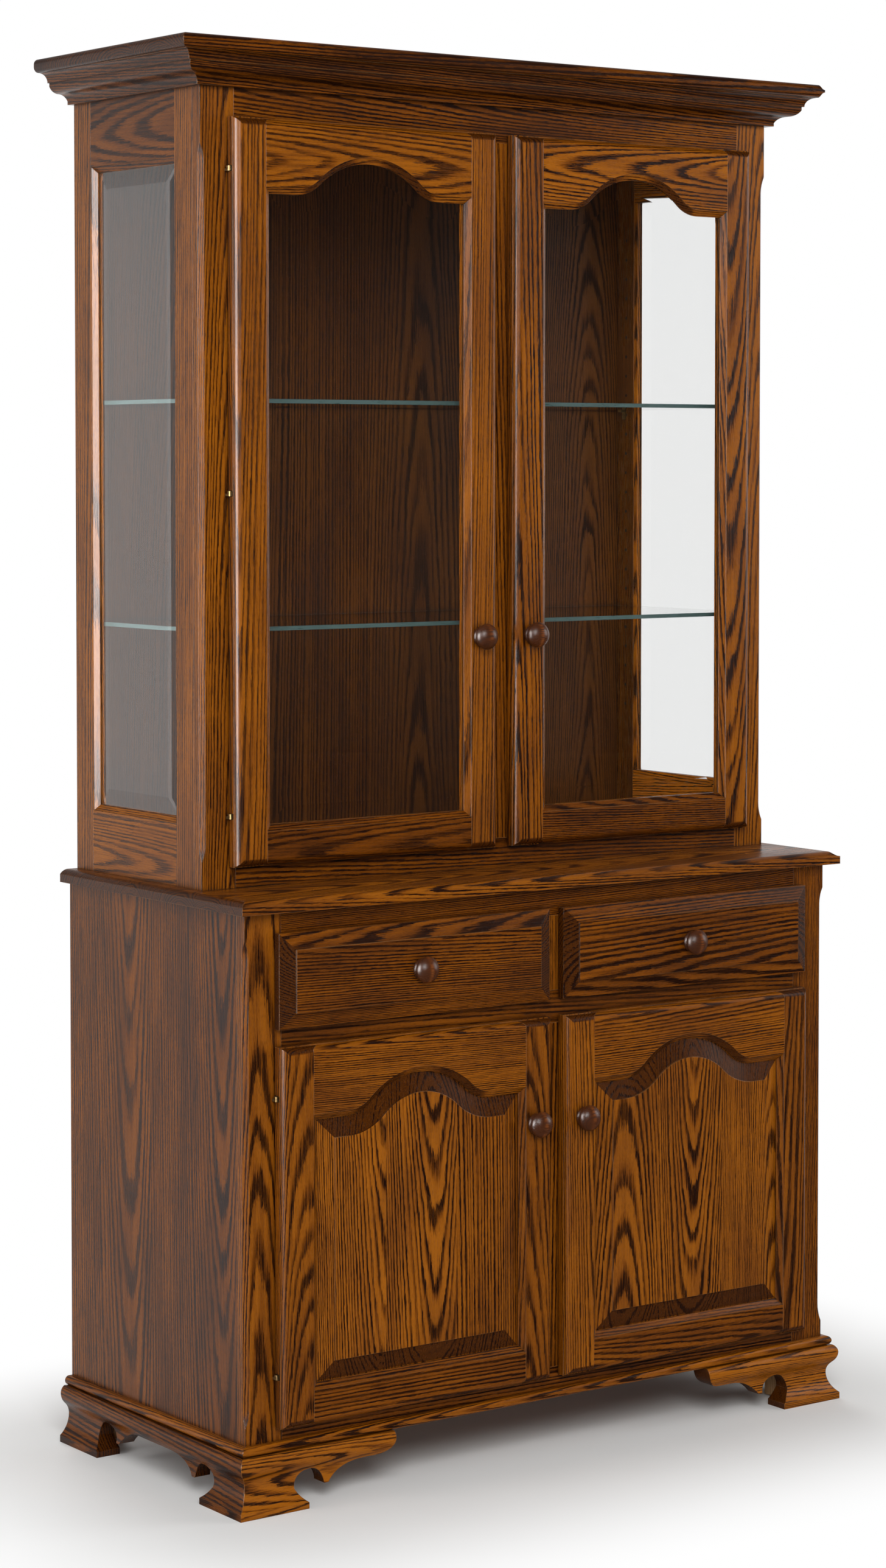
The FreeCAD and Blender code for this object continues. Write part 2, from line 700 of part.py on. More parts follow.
def hutch_face_frame():
    depth = (hutch_front, hutch_frame_back)
    across = (hutch_opening_side, -hutch_opening_side)
    keep(face_stiles("hutch_face_stiles", hutch_side, s.hutch_stile_width, hutch_front,
                     s.counter_height, slab_bottom,
                     s.counter_height + s.hutch_chamfer_bottom, crown_bottom - s.hutch_chamfer_top),
         board("hutch_top_rail", across, depth, (hutch_door_top, slab_bottom)),
         board("hutch_bottom_rail", across, depth, (s.counter_height, hutch_floor)),
         board("hutch_centre_stile", (hutch_opening_middle, -hutch_opening_middle), depth,
               (hutch_floor, hutch_door_top)))


base_face_frame()
hutch_face_frame()


# Base case

drawer_box_bottom = drawer_bottom + s.drawer_lift
drawer_box_side = base_opening_side + s.drawer_side_clearance
drawer_box_middle = base_opening_middle - s.drawer_side_clearance


def base_side_panel(name):
    return board(name, (case_side, case_inside), (frame_back, case_back), (s.foot_height, counter_bottom))


def runner(name, start, ledge_left, guide_left, guide_right, ledge_right):
    """A drawer runner: a ledge with a guide strip standing on it."""
    top = drawer_box_bottom - s.runner_clearance
    corners = [
        (ledge_left, top - s.runner_height),
        (ledge_right, top - s.runner_height),
        (ledge_right, top),
        (guide_right, top),
        (guide_right, top + s.runner_guide_height),
        (guide_left, top + s.runner_guide_height),
    ]
    if ledge_left.value < guide_left.value:
        corners += [(guide_left, top), (ledge_left, top)]
    return prism(name, outline(f"{name}_section", "XZ", start, corners), "Y", panel_front - start)


def drawer_runners():
    side = runner("side_runner", frame_back, case_inside, case_inside, drawer_box_side - s.guide_clearance,
                  drawer_box_side + s.runner_ledge)
    guide = drawer_box_middle + s.guide_clearance
    ledge = drawer_box_middle - s.runner_ledge
    middle = runner("middle_runner", frame_back, ledge, guide, -guide, -ledge)
    return group("drawer_runners", side, middle, mirrored("side_runner_right", side))


def base_case():
    inside = (case_inside, -case_inside)
    depth = (frame_back, panel_front)
    shelf_top = base_floor + s.shelf_height
    shelf_bottom = shelf_top - s.board_thickness
    shelf_depth = (frame_back + s.shelf_set_back, panel_front)
    both_sides("base_{side}_side_panel", base_side_panel)
    cleat = board("shelf_cleat", (case_inside, case_inside + s.cleat_width), shelf_depth,
                  (shelf_bottom - s.cleat_height, shelf_bottom))
    keep(board("base_bottom_panel", inside, depth, (base_floor - s.board_thickness, base_floor)),
         board("base_back_panel", inside, (panel_front, case_back), (s.foot_height, counter_bottom)),
         board("base_shelf", inside, shelf_depth, (shelf_bottom, shelf_top)),
         paired("base_shelf_cleats", cleat),
         drawer_runners())


base_case()


# Hutch case: glazed side frames, back, floor, ceiling and glass shelves

side_opening_y = (hutch_frame_back + s.side_stile_width, case_back - s.side_stile_width)
side_opening_z = (s.counter_height + s.side_bottom_rail_width, slab_bottom - s.side_top_rail_width)


def side_outline(name, depth, inset):
    """Outline inside the opening of the left side frame, at a depth behind its outer face."""
    return rectangle(name, "YZ", hutch_side + depth,
                     shrink(side_opening_y, inset), shrink(side_opening_z, inset))


def sticking(name, outline_at, thickness, seat_end, axis):
    """Cutters for the inner edge of a frame: a small step, a bevel, the sight edge, and the groove or rabbet
    behind it. outline_at(name, depth, inset) draws the opening at a depth behind the frame's front."""
    bevel_end = s.stick_quirk + s.stick_depth
    step = prism(f"{name}_step", outline_at(f"{name}_arris", ZERO, ZERO), axis, s.stick_quirk)
    bevel = taper(f"{name}_bevel", outline_at(f"{name}_bevel_front", s.stick_quirk, ZERO),
                  outline_at(f"{name}_bevel_back", bevel_end, s.stick_width))
    sight_edge = outline_at(f"{name}_sight_edge", s.stick_quirk, s.stick_width)
    seat_edge = outline_at(f"{name}_seat_edge", s.seat_depth, s.stick_width - s.seat_width)
    return [step, bevel,
            prism(f"{name}_sight", sight_edge, axis, thickness - s.stick_quirk),
            prism(f"{name}_seat", seat_edge, axis, seat_end - s.seat_depth)]


def bevelled_pane(name, outline_at, axis):
    """A glass pane that seats behind the sight edge and stands up to a bevelled field inside it."""
    edge = outline_at(f"{name}_edge", s.seat_depth, s.stick_width - s.seat_width + s.seat_clearance)
    foot = outline_at(f"{name}_bevel_foot", s.seat_depth, s.stick_width + s.seat_clearance)
    head = outline_at(f"{name}_field", s.seat_depth - s.pane_bevel_rise, s.stick_width + s.pane_bevel_width)
    plate = prism(f"{name}_plate", edge, axis, s.pane_thickness)
    return fuse(name, plate, taper(f"{name}_bevel", foot, head))


def hutch_side_frame(name):
    """Stiles with the sticking along their whole length, and rails coped over it."""
    across = (hutch_side, hutch_inside)
    height = (s.counter_height, slab_bottom)
    thick = s.frame_thickness
    lower = (s.counter_height, side_opening_z[0] + s.stick_width)
    upper = (side_opening_z[1] - s.stick_width, slab_bottom)

    def stile_outline(label, depth, inset):
        return rectangle(label, "YZ", hutch_side + depth, shrink(side_opening_y, inset), height)
    stile_tools = sticking(f"{name}_stile", stile_outline, thick, thick, "X")
    rail_tools = sticking(f"{name}_rail", side_outline, thick, thick, "X")
    front = (hutch_frame_back, side_opening_y[0] + s.stick_width)
    rear = (side_opening_y[1] - s.stick_width, case_back)
    stiles = [cut(f"{name}_{part}_stile", board(f"{name}_{part}_blank", across, depth, height), *stile_tools)
              for part, depth in (("front", front), ("rear", rear))]
    rails = [cut(f"{name}_{part}_rail", board(f"{name}_{part}_blank", across, side_opening_y, rise),
                 *rail_tools, *stiles) for part, rise in (("lower", lower), ("upper", upper))]
    return group(name, *stiles, *rails)


def hutch_side_stops():
    """Strips in the rabbets of the side frames, behind the panes."""
    across = (hutch_side + s.seat_depth + s.pane_thickness, hutch_inside - s.stop_set_back)
    (front, rear), (low, high) = side_opening_y, side_opening_z
    upright = shrink(side_opening_z, s.stick_width)
    return paired("hutch_side_stops",
                  board("front_side_stop", across, (front, front + s.stick_width), upright),
                  board("rear_side_stop", across, (rear - s.stick_width, rear), upright),
                  board("lower_side_stop", across, side_opening_y, (low, low + s.stick_width)),
                  board("upper_side_stop", across, side_opening_y, (high - s.stick_width, high)))


def shelf_pin(name, y, glass_bottom):
    """A flat pin: a tongue under the glass and a back plate on the side frame."""
    thick = s.shelf_pin_thickness
    tongue = hutch_inside + s.shelf_pin_reach
    corners = [
        (hutch_inside, glass_bottom - s.shelf_pin_drop),
        (hutch_inside + thick, glass_bottom - s.shelf_pin_drop),
        (hutch_inside + thick, glass_bottom - thick),
        (tongue, glass_bottom - thick),
        (tongue, glass_bottom),
        (hutch_inside, glass_bottom),
    ]
    section = outline(f"{name}_section", "XZ", y - s.shelf_pin_width / 2, corners)
    return prism(name, section, "Y", s.shelf_pin_width)


def glass_shelves():
    across = (hutch_inside + s.glass_shelf_clearance, -hutch_inside - s.glass_shelf_clearance)
    depth = (hutch_frame_back + s.glass_shelf_set_back, panel_front - s.glass_shelf_clearance)
    pin_places = {"front": hutch_frame_back + s.side_stile_width / 2,
                  "rear": case_back - s.side_stile_width / 2}
    shelves = []
    pins = []
    for count, name in ((1, "lower"), (2, "upper")):
        top = hutch_floor + s.glass_shelf_spacing * count
        bottom = top - s.glass_shelf_thickness
        shelves.append(board(f"{name}_glass_shelf", across, depth, (bottom, top)))
        pins += [shelf_pin(f"{name}_{where}_pin", y, bottom) for where, y in pin_places.items()]
    keep(group("glass_shelves", *shelves), paired("shelf_pins", *pins))


def hutch_case():
    inside = (hutch_inside, -hutch_inside)
    depth = (hutch_frame_back, panel_front)
    both_sides("hutch_{side}_side_frame", hutch_side_frame)
    keep(paired("hutch_side_panes", bevelled_pane("hutch_pane", side_outline, "X")),
         hutch_side_stops(),
         board("hutch_back_panel", inside, (panel_front, case_back), (s.counter_height, slab_bottom)),
         board("hutch_bottom_panel", inside, depth, (hutch_floor - s.board_thickness, hutch_floor)),
         board("hutch_top_panel", inside, depth, (hutch_door_top, hutch_door_top + s.board_thickness)))
    glass_shelves()


hutch_case()


# Knobs, turned round their own axis and set against a front

def knob(name, x, face, z):
    body = doc.addObject("PartDesign::Body", name)
    sketch = body.newObject("Sketcher::SketchObject", f"{name}_profile")
    planes = body.Origin.OriginFeatures
    sketch.AttachmentSupport = [(plane, "") for plane in planes if plane.Role == "XZ_Plane"]
    sketch.MapMode = "FlatFace"
    draw(sketch, [
        (ZERO, ZERO),
        (s.knob_stem_radius, ZERO),
        (s.knob_stem_radius, s.knob_rim_height),
        (s.knob_radius, s.knob_rim_height),
        (s.knob_crown_radius, s.knob_crown_height),
        (ZERO, s.knob_projection),
    ])
    turning = body.newObject("PartDesign::Revolution", f"{name}_turning")
    turning.Profile = sketch
    turning.ReferenceAxis = (sketch, ["V_Axis"])
    turning.Angle = 360
    body.Placement = Placement(Vector(), Rotation(AXES["X"], 90))
    place(body, x, face, z)
    return body


# Doors: cope-and-stick frames with an arched top rail, round a raised panel or a bevelled pane

def lipped_section(low, high, back):
    """Section across a door: a lip at the back, a step, and a rounded edge up to the front."""
    radius = s.door_thickness - s.door_lip
    step = s.door_edge_step
    lip = back - s.door_lip
    front = back - s.door_thickness
    return [
        (low, back), (low, lip), (low + step, lip), (low + step + radius, front, LEFT, radius),
        (high - step - radius, front), (high - step, lip, LEFT, radius), (high, lip), (high, back),
    ]


def arched_outline(name, level, x, low, shoulder, arch_half, inset):
    """Opening with an ogee arch: all edges lie a given distance inside the frame's inner edge."""
    radius_sum = bend_radius(arch_half, s.arch_rise)
    peak_radius = radius_sum - s.arch_foot_radius
    share = s.arch_foot_radius / radius_sum
    bend_out = arch_half - arch_half * share
    bend_up = s.arch_rise * share
    middle = (x[0] + x[1]) / 2
    reach = bend_out - inset * bend_out / peak_radius
    height = shoulder + bend_up - inset * (bend_up - s.arch_rise + peak_radius) / peak_radius
    foot = s.arch_foot_radius + inset
    return outline(name, "XZ", level, [
        (x[0] + inset, low + inset),
        (x[1] - inset, low + inset),
        (x[1] - inset, shoulder - inset),
        (middle + arch_half, shoulder - inset),
        (middle + reach, height, RIGHT, foot),
        (middle - reach, height, LEFT, peak_radius - inset),
        (middle - arch_half, shoulder - inset, RIGHT, foot),
        (x[0] + inset, shoulder - inset),
    ])


def raised_panel(name, outline_at):
    """A panel with its tongue in the groove, a bevel, a small step and a raised arched field."""
    step_depth = s.panel_field_depth + s.panel_field_step
    edge = outline_at(f"{name}_edge", s.seat_depth, s.stick_width - s.seat_width + s.seat_clearance)
    foot = outline_at(f"{name}_bevel_foot", s.seat_depth, s.stick_width + s.seat_clearance)
    head = outline_at(f"{name}_bevel_head", step_depth, s.panel_margin)
    field = outline_at(f"{name}_field_edge", s.panel_field_depth, s.panel_margin)
    return fuse(name, prism(f"{name}_tongue", edge, "Y", s.groove_width), taper(f"{name}_bevel", foot, head),
                prism(f"{name}_field", field, "Y", s.seat_depth - s.panel_field_depth))


hinge_height = s.hinge_eye_height * 2 + s.hinge_eye_clearance


def frame_leaf(name, x, face, low):
    """Frame half of a hinge: a flange behind the door, and an arm with the lower eye."""
    axis_y = face - s.hinge_set_out
    radius = s.hinge_radius
    flange = face - s.hinge_flange_thickness
    corners = [
        (x - radius, axis_y),
        (x, axis_y - radius, LEFT, radius),
        (x + radius, axis_y - radius),
        (x + radius, flange),
        (x + s.hinge_flange_width, flange),
        (x + s.hinge_flange_width, face),
        (x - radius, face),
    ]
    return prism(name, outline(f"{name}_outline", "XY", low, corners), "Z", s.hinge_eye_height)


def door_leaf(name, x, face, low):
    """Door half of a hinge: a plate let into the edge of the stile, with the upper eye."""
    axis_y = face - s.hinge_set_out
    radius = s.hinge_radius
    corners = [
        (x + s.hinge_leaf_length, axis_y + radius),
        (x - radius, axis_y + radius),
        (x - radius, axis_y),
        (x, axis_y - radius, LEFT, radius),
        (x + s.hinge_leaf_length, axis_y - radius),
    ]
    start = low + s.hinge_eye_height + s.hinge_eye_clearance
    return prism(name, outline(f"{name}_outline", "XY", start, corners), "Z", s.hinge_eye_height)


def hinge_notch(name, x, face, low):
    """Notch in the door's edge that clears the frame leaf and its knuckle."""
    front = face - s.hinge_set_out - s.hinge_notch_depth
    return board(name, (x, x + s.hinge_notch_depth), (front, face - s.front_gap),
                 (low - s.hinge_notch_clearance, low + hinge_height + s.hinge_notch_clearance))


def door_stops(name, hole_x, hole_low, shoulder, back):
    """Strips in the rabbet of a glazed door, behind the pane."""
    depth = (back - s.door_thickness + s.seat_depth + s.pane_thickness, back - s.stop_set_back)
    upright = (hole_low + s.stick_width, shoulder)
    return group(name,
                 board(f"{name}_hinge_side", (hole_x[0], hole_x[0] + s.stick_width), depth, upright),
                 board(f"{name}_free_side", (hole_x[1] - s.stick_width, hole_x[1]), depth, upright),
                 board(f"{name}_lower", hole_x, depth, (hole_low, hole_low + s.stick_width)))


def left_door(name, x, z, face, arch_half, knob_height, hinges, filler):
    """All the nodes of a left door, and the frame halves of its hinges. The stiles have the sticking along
    their whole length, and the rails are coped over it."""
    back = face - s.front_gap
    front = back - s.door_thickness
    shoulder = z[1] - s.door_shoulder_drop
    hole_x = (x[0] + s.door_stile_width, x[1] - s.door_stile_width)
    hole_low = z[0] + s.door_rail_width
    seat_end = s.seat_depth + s.groove_width if filler == "panel" else s.door_thickness

    def arched_at(label, depth, inset):
        return arched_outline(label, front + depth, hole_x, hole_low, shoulder, arch_half, inset)

    def straight_at(label, depth, inset):
        return rectangle(label, "XZ", front + depth, shrink(hole_x, inset), z)
    stile_tools = sticking(f"{name}_stile", straight_at, s.door_thickness, seat_end, "Y")
    rail_tools = sticking(f"{name}_rail", arched_at, s.door_thickness, seat_end, "Y")
    blank = worked_board(f"{name}_blank", lipped_section, x, z, back)

    lower = (z[0], hole_low + s.stick_width)
    upper = (shoulder - s.stick_width, z[1])

    def sawn(part, across, rise):
        zone = board(f"{name}_{part}_zone", across, (front, back), rise)
        return common(f"{name}_{part}_blank", blank, zone)
    leaves = []
    frame_leaves = []
    hinge_tools = []
    for count, height in enumerate(hinges, start=1):
        low = height - hinge_height / 2
        leaves.append(door_leaf(f"{name}_leaf_{count}", x[0], face, low))
        frame_leaves.append(frame_leaf(f"{name}_frame_leaf_{count}", x[0], face, low))
        hinge_tools += [leaves[-1], hinge_notch(f"{name}_notch_{count}", x[0], face, low)]
    hinge_stile = cut(f"{name}_hinge_stile", sawn("hinge", (x[0], hole_x[0] + s.stick_width), z),
                      *stile_tools, *hinge_tools)
    free_stile = cut(f"{name}_free_stile", sawn("free", (hole_x[1] - s.stick_width, x[1]), z), *stile_tools)
    rails = [cut(f"{name}_{part}_rail", sawn(part, hole_x, rise), *rail_tools, hinge_stile, free_stile)
             for part, rise in (("lower", lower), ("upper", upper))]
    turned = knob(f"{name}_knob", x[1] - s.knob_edge_distance, front, z[0] + knob_height)
    parts = [group(f"{name}_stiles", hinge_stile, free_stile, turned), group(f"{name}_rails", *rails),
             group(f"{name}_hinge_leaves", *leaves)]
    if filler == "panel":
        parts.append(raised_panel(f"{name}_panel", arched_at))
    else:
        parts += [bevelled_pane(f"{name}_glass", arched_at, "Y"),
                  door_stops(f"{name}_glass_stops", hole_x, hole_low, shoulder, back)]
    return parts, frame_leaves


def door_pair(name, x, z, face, arch_half, knob_height, middle_hinge, filler):
    hinges = [z[0] + s.hinge_inset, z[1] - s.hinge_inset]
    if middle_hinge:
        hinges.append((z[0] + z[1]) / 2)
    parts, frame_leaves = left_door(f"{name}_left_door", x, z, face, arch_half, knob_height, hinges, filler)
    for part in parts:
        keep(part, mirrored(part.Name.replace("left", "right", 1), part))
    return frame_leaves + [mirrored(leaf.Name.replace("left", "right", 1), leaf) for leaf in frame_leaves]


def doors():
    hutch_x = (hutch_opening_side - s.front_overlay, hutch_opening_middle + s.front_overlay)
    hutch_z = (hutch_floor - s.front_overlay, hutch_door_top + s.front_overlay)
    hutch_arch = (hutch_x[1] - hutch_x[0]) / 2 - s.door_stile_width - s.hutch_arch_shoulder
    base_x = (base_opening_side - s.front_overlay, base_opening_middle + s.front_overlay)
    base_z = (base_floor - s.front_overlay, base_door_top + s.front_overlay)
    frame_leaves = door_pair(
        "hutch", hutch_x, hutch_z, hutch_front, hutch_arch, s.hutch_knob_height, True, "glass")
    frame_leaves += door_pair(
        "base", base_x, base_z, base_front, s.arch_half_width, s.base_knob_height, False, "panel")
    keep(group("hinge_frame_leaves", *frame_leaves))


doors()


# Drawers: a raised front over a box that slides on the runners

def fielded_section(low, high, back):
    """Section across a drawer front: a plain edge, a bevel, and a step up to the field."""
    lip = back - s.drawer_lip
    front = back - s.drawer_front_thickness
    step = front + s.drawer_field_step
    field_low, field_high = shrink((low, high), s.drawer_border)
    return [
        (low, back), (low, lip), (field_low, step), (field_low, front),
        (field_high, front), (field_high, step), (high, lip), (high, back),
    ]


def drawer_front(name, x, z, back):
    """A fielded front and its knob."""
    front = back - s.drawer_front_thickness
    return group(name, worked_board(f"{name}_board", fielded_section, x, z, back),
                 knob(f"{name}_knob", (x[0] + x[1]) / 2, front, (z[0] + z[1]) / 2))


def drawer_box(name, front):
    thick = s.drawer_board
    x = (drawer_box_side, drawer_box_middle)
    y = (front, front + s.drawer_box_depth)
    z = (drawer_box_bottom, drawer_box_bottom + s.drawer_box_height)
    inner_x = (x[0] + thick, x[1] - thick)
    inner_y = (y[0] + thick, y[1] - thick)
    floor = drawer_box_bottom + s.drawer_bottom_lift
    return group(name,
                 board(f"{name}_outer_side", (x[0], inner_x[0]), y, z),
                 board(f"{name}_inner_side", (inner_x[1], x[1]), y, z),
                 board(f"{name}_inner_front", inner_x, (y[0], inner_y[0]), z),
                 board(f"{name}_back", inner_x, (inner_y[1], y[1]), z),
                 board(f"{name}_bottom", inner_x, inner_y, (floor, floor + s.drawer_bottom_board)))


def drawers():
    x = (base_opening_side - s.front_overlay, base_opening_middle + s.front_overlay)
    z = (drawer_bottom - s.front_overlay, drawer_top + s.front_overlay)
    back = base_front - s.front_gap
    both_sides("{side}_drawer_front", lambda name: drawer_front(name, x, z, back))
    both_sides("{side}_drawer_box", lambda name: drawer_box(name, back))


drawers()


# Check every piece, then write one file per node

doc.recompute()
faults = [item.Label for item in doc.Objects if "Invalid" in item.State or "Error" in item.State]
faults += [node.Label for node in nodes
           if node.Shape.isNull() or not node.Shape.isValid() or not node.Shape.Solids]
if faults:
    raise RuntimeError(f"faulty pieces: {faults}")
os.makedirs("parts", exist_ok=True)
for node in nodes:
    node.Shape.exportStep(f"parts/{node.Label}.step")
print(len(nodes), "nodes,", sum(len(node.Shape.Solids) for node in nodes), "solids")
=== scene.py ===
"""Oak dresser with a hutch: finishes, floor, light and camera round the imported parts."""
import json
import math

import bpy
import numpy as np
from mathutils import Matrix, Vector


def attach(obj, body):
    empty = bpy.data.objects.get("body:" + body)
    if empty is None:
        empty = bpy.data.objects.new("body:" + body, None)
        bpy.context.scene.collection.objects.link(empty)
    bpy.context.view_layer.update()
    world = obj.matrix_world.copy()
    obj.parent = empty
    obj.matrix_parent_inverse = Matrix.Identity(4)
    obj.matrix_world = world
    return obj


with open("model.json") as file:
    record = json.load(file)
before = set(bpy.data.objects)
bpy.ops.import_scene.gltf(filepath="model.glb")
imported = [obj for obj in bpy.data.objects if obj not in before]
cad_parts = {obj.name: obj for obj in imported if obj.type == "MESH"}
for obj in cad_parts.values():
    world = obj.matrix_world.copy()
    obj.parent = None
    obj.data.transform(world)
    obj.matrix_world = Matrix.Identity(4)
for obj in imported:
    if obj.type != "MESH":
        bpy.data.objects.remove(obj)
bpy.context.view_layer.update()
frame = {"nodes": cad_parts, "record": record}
nodes = frame["nodes"]


# Node trees

class Graph:
    """A material or world whose nodes are made by calls; a call's inputs are sockets or plain values."""

    def __init__(self, owner):
        owner.use_nodes = True
        self.owner = owner
        self.tree = owner.node_tree
        self.tree.nodes.clear()

    def node(self, kind, inputs, **settings):
        made = self.tree.nodes.new(f"ShaderNode{kind}")
        for name, value in settings.items():
            setattr(made, name, value)
        for key, value in inputs.items():
            if isinstance(value, bpy.types.NodeSocket):
                self.tree.links.new(value, made.inputs[key])
            else:
                made.inputs[key].default_value = value
        return made

    def read(self, kind, output, **settings):
        """One output of a node that takes no inputs."""
        return self.node(kind, {}, **settings).outputs[output]

    def math(self, operation, *values):
        return self.node("Math", dict(enumerate(values)), operation=operation).outputs[0]

    def length(self, first, second):
        """The long side of a right-angled triangle, from the other two."""
        squares = [self.math("MULTIPLY", side, side) for side in (first, second)]
        return self.math("SQRT", self.math("ADD", *squares))

    def offset(self, chance, reach):
        """A number between 0 and 1, carried to half of reach either way from zero."""
        return self.math("MULTIPLY", self.math("SUBTRACT", chance, 0.5), reach)

    def span(self, value, low, high, start=0.0, end=1.0):
        """value between low and high, carried smoothly to start and end."""
        inputs = {"Value": value, "From Min": low, "From Max": high, "To Min": start, "To Max": end}
        return self.node("MapRange", inputs, interpolation_type="SMOOTHSTEP").outputs[0]

    def between(self, share, first, second):
        """Two numbers mixed."""
        return self.node("Mix", {0: share, 2: first, 3: second}, data_type="FLOAT").outputs[0]

    def mix(self, share, first, second):
        """Two colours mixed."""
        return self.node("Mix", {0: share, 6: first, 7: second}, data_type="RGBA").outputs[2]

    def vector(self, x, y, z):
        return self.node("CombineXYZ", {0: x, 1: y, 2: z}).outputs[0]

    def parts(self, vector):
        return self.node("SeparateXYZ", {0: vector}).outputs

    def scaled(self, vector, scale):
        return self.node("VectorMath", {0: vector, 1: scale}, operation="MULTIPLY").outputs[0]

    def noise(self, vector, scale, detail=2.0, rough=0.5):
        """Smooth noise, with one scale along the vector's first number and another along the rest."""
        along, across = scale
        inputs = {"Vector": self.scaled(vector, (along, across, across)),
                  "Scale": 1.0, "Detail": detail, "Roughness": rough}
        return self.node("TexNoise", inputs).outputs[0]

    def chances(self, x, y, z):
        """White noise: a Value and a Color between 0 and 1, drawn by three numbers."""
        return self.node("TexWhiteNoise", {"Vector": self.vector(x, y, z)}, noise_dimensions="3D").outputs

    def bump(self, height, strength, distance, **normal):
        inputs = {"Height": height, "Strength": strength, "Distance": distance, **normal}
        return self.node("Bump", inputs).outputs[0]

    def met(self, depth):
        """One on a path that has met a surface of the kind that depth counts, and zero on others."""
        return self.math("GREATER_THAN", self.read("LightPath", depth), 0.5)

    def finish(self, **shaders):
        kind = "OutputWorld" if isinstance(self.owner, bpy.types.World) else "OutputMaterial"
        self.node(kind, shaders)
        return self.owner


def rgb(red, green, blue):
    return (red, green, blue, 1.0)


WHITE = rgb(1.0, 1.0, 1.0)


# Wood: growth rings round a pith outside each stave, with open pores along the grain.
# Lengths are in metres, and a SCALE is a noise's cells per metre along the grain and across it.
# A RANGE is two values of a noise and the two that they are carried to, 0 and 1 where not given.

SEED_SHIFT = 3.7
STAVE_SHIFT = 0.31
PITH_ASIDE = 0.22
PITH_RANGE = (0.0, 1.0, 0.035, 0.085)
LEAST_TILT = 0.022
MORE_TILT = 0.07
WANDER = 0.022
WANDER_SCALE = (1.3, 4.5)
RIPPLE = 0.004
RIPPLE_SCALE = (8.0, 34.0)

RING_RANGE = (0.0, 1.0, 0.0025, 0.0056)
SEASON_SCALE = (60.0, 1.0)
SEASON_YEARS = 2.2
FRAY_YEARS = 0.9
STREAK_SCALE = (38.0, 800.0)
STREAK_DETAIL = 3.0
STREAK_ROUGH = 0.6
FINE_SCALE = (110.0, 2600.0)
BROKEN_SCALE = (11.0, 430.0)
EARLY_START_RANGE = (0.0, 0.08)
EARLY_END_RANGE = (0.17, 0.60, 1.0, 0.0)
YEAR_RANGE = (0.0, 1.0, 0.55, 1.60)
BROKEN_RANGE = (0.36, 0.56, 0.42, 1.0)
PORE_RANGE = (0.50, 0.68)
CROWDED_RANGE = (0.0, 1.0, 0.35, 1.0)
HAIR_RANGE = (0.50, 0.72)

CLOUD_SCALE = (4.0, 16.0)
FLOW_SCALE = (2.5, 150.0)
PORE_STAIN = 0.40
HAIR_STAIN = 0.26
FLOW_STAIN = 0.45
CLOUD_STAIN_RANGE = (0.30, 0.75, -0.08, 0.20)
STAVE_STAIN_RANGE = (0.0, 1.0, -0.06, 0.14)
END_STAIN_RANGE = (0.35, 0.65, 0.72, 0.95)
STAIN_GAIN = 1.15
STAIN_LEAST = 0.05
RUDDY = (0.94, 0.82, 0.72)

EDGE_RADIUS = 0.0014
# Edges are painted paler in patches: partly wear, partly a painted highlight along them.
EDGE_WEAR_AND_HIGHLIGHT_RANGE = (0.78, 0.98, 0.60, 0.0)
RUBBED_AND_HIGHLIGHT_RANGE = (0.38, 0.60)
# Creases are darkened by ambient occlusion: painted shade.
CREASE_SHADE_REACH = 0.012
CREASE_SHADE_RANGE = (0.25, 0.85, 0.6, 0.0)
EDGE_SAMPLES = 4

GLOSS_CLOUD = (0.3, 0.8)
GLOSS_SPREAD = 0.08
PORE_GLOSS = 0.16
PORE_RELIEF = -0.8
HAIR_RELIEF = -0.25
RELIEF_STRENGTH = 0.35
RELIEF_DEPTH = 0.00025

HOLE_STEP = 0.032
HOLE_RADIUS = 0.0026
HOLE_REACH = 0.40
# Shelf-pin holes are painted near black: painted shade in place of recesses.
HOLE_SHADE_COLOUR = rgb(0.004, 0.002, 0.001)
HOLE_ROUGHNESS = 0.9
INWARD_FROM = -0.3
# Inward faces of the side stiles are darkened: painted shade.
INWARD_SHADE = 0.78


def inward_faces(g):
    """One on a side frame's face that looks to the middle of the case, and zero elsewhere."""
    place = g.parts(g.read("NewGeometry", "Position"))
    normal = g.parts(g.read("NewGeometry", "Normal"))
    return g.math("LESS_THAN", g.math("MULTIPLY", place[0], normal[0]), INWARD_FROM)


def pin_holes(g, along, across, width):
    """A row of holes for shelf pins up the middle of a stile, as a mask; the holes are not cut but painted
    as dark dots of shade.
    """
    step = g.math("WRAP", along, -HOLE_STEP / 2, HOLE_STEP / 2)
    aside = g.math("MULTIPLY_ADD", width, -0.5, across)
    reached = g.math("LESS_THAN", g.math("ABSOLUTE", along), HOLE_REACH)
    return g.math("MULTIPLY", reached, g.math("LESS_THAN", g.length(step, aside), HOLE_RADIUS))


